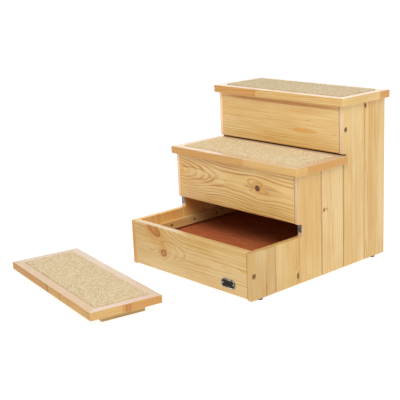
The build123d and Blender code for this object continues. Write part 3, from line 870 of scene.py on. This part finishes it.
def carpet_material(name, tint):
    """Looped sand-coloured pile: every tuft has its own tone, and the gaps between tufts are
    painted darker: painted shade between the loops.
    """
    material, tree, shader = new_material(
        name, Roughness=0.95, Specular_IOR_Level=0.15, Sheen_Weight=0.35, Sheen_Roughness=0.6
    )
    shader.inputs["Sheen Tint"].default_value = linear(255, 240, 212)
    x, y, z = place_fields(tree)
    tufts = cells(tree, combine(tree, x / TUFT_PITCH, y / TUFT_PITCH, z / TUFT_PITCH))
    pick, second, _ = split(tree, tufts.outputs["Color"])
    distance = Field(tree, tufts.outputs["Distance"])
    yarn = noise(tree, combine(tree, x * 1.4, y * 1.4, z * 1.4), 3.0, 0.7)
    cloud = noise(tree, combine(tree, x / 30.0, y / 30.0, z / 30.0), 3.0)
    up = normal_fields(tree)[2]
    colour = blend_colour(tree, linear(236, 219, 182), linear(222, 196, 150), pick.ramp(0.2, 0.8))
    colour = blend_colour(tree, colour, linear(184, 148, 98), second.ramp(0.76, 0.88) * 0.8)
    colour = blend_colour(tree, colour, linear(247, 236, 210), second.ramp(0.22, 0.1) * 0.7)
    # Painted shade: darker between the tufts
    colour = blend_colour(tree, colour, linear(206, 172, 116), distance.ramp(0.35, 0.75) * 0.5)
    colour = blend_colour(tree, colour, linear(214, 186, 134), cloud.ramp(0.45, 0.75) * 0.35)
    colour = blend_colour(tree, colour, linear(222, 180, 110), up.ramp(0.75, 0.15) * 0.8)
    colour = blend_colour(tree, colour, linear(160, 120, 70), yarn.ramp(0.6, 0.8) * 0.3)
    colour = tinted(tree, colour, tint)
    tree.links.new(colour, shader.inputs["Base Color"])
    add_bump(tree, shader, yarn * 0.8 + distance * -0.8, 0.0007, 0.8)
    return material


def tuft_heights(points, generator):
    """How far each point stands up on the nearest loop, from 0 between loops to 1 on top."""
    pitch = TUFT_PITCH * MM
    low = points.min(axis=0) - 3 * pitch
    columns, rows = (np.ceil((points.max(axis=0) - low) / pitch) + 4).astype(int)
    jitter = generator.uniform(-TUFT_JITTER, TUFT_JITTER, (columns, rows, 2))
    size = generator.uniform(SMALLEST_TUFT, 1.0, (columns, rows))
    cell = ((points - low) / pitch).astype(int)
    best = np.zeros(len(points))
    for step_x in (-1, 0, 1):
        for step_y in (-1, 0, 1):
            column = cell[:, 0] + step_x
            row = cell[:, 1] + step_y
            centre = np.stack([column, row], axis=1) + 0.5 + jitter[column, row]
            away = np.linalg.norm((points - low) / pitch - centre, axis=1) / TUFT_REACH
            bump = size[column, row] * np.sqrt(np.clip(1 - away * away, 0, 1))
            best = np.maximum(best, bump)
    return best


def carpet(tread, seed, tint):
    """A carpet of looped pile inside the frame, with rounded, slightly ragged edges."""
    node = f"{tread}_carpet"
    box_low, box_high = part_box(f"{tread}_deck")
    turn = math.radians(LOOSE["turn"]) if tread == "lower_tread" else 0.0
    centre = (Vector(box_low) + Vector(box_high)) / 2
    base = box_high[2]
    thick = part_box(node)[1][2] - base
    half = np.array(CARPET_HALF) * MM
    corner = CARPET_CORNER * MM
    spacing = CARPET_GRID * MM
    counts = [int(round(2 * size / spacing)) for size in half]
    xs = np.linspace(-half[0], half[0], counts[0] + 1)
    ys = np.linspace(-half[1], half[1], counts[1] + 1)
    grid_x, grid_y = np.meshgrid(xs, ys, indexing="ij")
    points = np.stack([grid_x.ravel(), grid_y.ravel()], axis=1)

    # Round the corners in plan, then measure how far each point is from the edge
    inner = half - corner
    beyond = np.maximum(np.abs(points) - inner, 0)
    longest = beyond.max(axis=1)
    length = np.linalg.norm(beyond, axis=1)
    both = (beyond > 0).all(axis=1)
    scale = np.where(both, longest / np.maximum(length, TINY), 1.0)
    flat = np.sign(points) * (np.minimum(np.abs(points), inner) + beyond * scale[:, None])
    from_edge = np.where(both, corner - longest, (half - np.abs(points)).min(axis=1))

    generator = np.random.default_rng(seed)
    loops = tuft_heights(flat, generator)
    wave_x, wave_y = SWELL_WAVES
    swell = np.sin(flat[:, 0] * wave_x + seed) * np.sin(flat[:, 1] * wave_y + 2 * seed)
    round_reach = EDGE_REACH * MM
    inside = np.clip(from_edge / round_reach, 0, 1)
    drop = (1 - np.sqrt(1 - (1 - inside) ** 2)) * EDGE_DROP * MM
    heights = thick - TUFT_HEIGHT * MM + loops * TUFT_HEIGHT * MM
    heights = np.minimum(heights + swell * SWELL_HEIGHT * MM - drop, thick)

    # The outermost loops lean over the frame's inner edge, unevenly
    rail_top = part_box(f"{tread}_front_rail")[1][2] - base
    outer = inside < LEAN_SHARE
    heights = np.where(outer, np.maximum(heights, rail_top + LEAN_HEIGHT * MM), heights)
    ragged = generator.uniform(*LEAN, len(flat)) * MM * outer
    at_side = np.abs(flat) > half - LEAN_SHARE * round_reach
    flat = flat + np.sign(flat) * ragged[:, None] * at_side

    rows, columns = len(xs), len(ys)
    index = np.arange(rows * columns).reshape(rows, columns)
    around = (index[:-1, :-1], index[1:, :-1], index[1:, 1:], index[:-1, 1:])
    faces = np.stack([corners.ravel() for corners in around], axis=1).tolist()

    # Side walls around the rim, and one face underneath
    rim = [*index[:, 0], *index[-1, 1:], *index[-2::-1, -1], *index[0, -2:0:-1]]
    lower_first = rows * columns
    count = len(rim)
    for step in range(count):
        after = (step + 1) % count
        faces.append([rim[after], rim[step], lower_first + step, lower_first + after])
    faces.append([lower_first + step for step in reversed(range(count))])

    top = np.column_stack([flat, heights])
    bottom = np.column_stack([flat[rim], np.full(count, CARPET_BASE * MM)])
    local = np.vstack([top, bottom])
    cosine, sine = math.cos(turn), math.sin(turn)
    placed = np.column_stack(
        [
            centre.x + local[:, 0] * cosine - local[:, 1] * sine,
            centre.y + local[:, 0] * sine + local[:, 1] * cosine,
            base + local[:, 2],
        ]
    )
    piece = build_mesh(f"{tread}_pile", placed, faces)
    piece.data.materials.append(carpet_material(f"{tread}_pile", tint))
    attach(piece, tread)
    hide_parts(node)


carpet("lower_tread", 3, (0.97, 0.99, 1.0))
carpet("middle_tread", 5, (1.03, 1.05, 1.04))
# The top carpet is tinted darker: painted shade for the self-shadow among its tufts
carpet("top_tread", 8, (0.86, 0.86, 0.88))


# ------------------------------------------------------------------ floor and light
FLOOR_REACH = 40.0
TOWARDS_BACKDROP = (-0.68, 0.73, 0.0)
KEY_PLACE = (1.55, -1.55, 3.16)
KEY_TARGET = (0, 0, 0.2)
KEY_SIZE = 2.4
KEY_WATTS = 92


def make_floor():
    """A plain pale floor that stays white under the light."""
    corners = [(-FLOOR_REACH, -FLOOR_REACH, 0), (FLOOR_REACH, -FLOOR_REACH, 0),
               (FLOOR_REACH, FLOOR_REACH, 0), (-FLOOR_REACH, FLOOR_REACH, 0)]
    floor = build_mesh("studio_floor", corners, [(0, 1, 2, 3)], smooth=False)
    material, tree, shader = new_material("studio_white", Roughness=0.9, Emission_Strength=0.80)
    shader.inputs["Base Color"].default_value = (0.40, 0.40, 0.40, 1)
    shader.inputs["Emission Color"].default_value = (1, 1, 1, 1)
    floor.data.materials.append(material)


def make_key_light():
    """One large soft light, high in front of the right side."""
    data = bpy.data.lights.new("key", "AREA")
    data.shape = "RECTANGLE"
    data.size = data.size_y = KEY_SIZE
    data.energy = KEY_WATTS
    light = bpy.data.objects.new("key", data)
    light.location = KEY_PLACE
    aim = Vector(KEY_TARGET) - Vector(KEY_PLACE)
    light.rotation_euler = aim.to_track_quat("-Z", "Y").to_euler()
    scene.collection.objects.link(light)


def make_world():
    """White surroundings, brighter behind the object, where a studio has its backdrop."""
    world = bpy.data.worlds.new("studio")
    world.use_nodes = True
    tree = world.node_tree
    background = tree.nodes["Background"]
    background.inputs["Color"].default_value = (1, 1, 1, 1)
    facing = tree.nodes.new("ShaderNodeVectorMath")
    facing.operation = "DOT_PRODUCT"
    facing.inputs[1].default_value = TOWARDS_BACKDROP
    tree.links.new(tree.nodes.new("ShaderNodeTexCoord").outputs["Generated"], facing.inputs[0])
    backdrop = Field(tree, facing.outputs["Value"]).ramp(0.45, 0.85, 0.42, 1.5)
    tree.links.new(backdrop.socket, background.inputs["Strength"])
    scene.world = world


make_floor()
make_world()
make_key_light()
scene.view_settings.view_transform = "Standard"
scene.view_settings.look = "None"

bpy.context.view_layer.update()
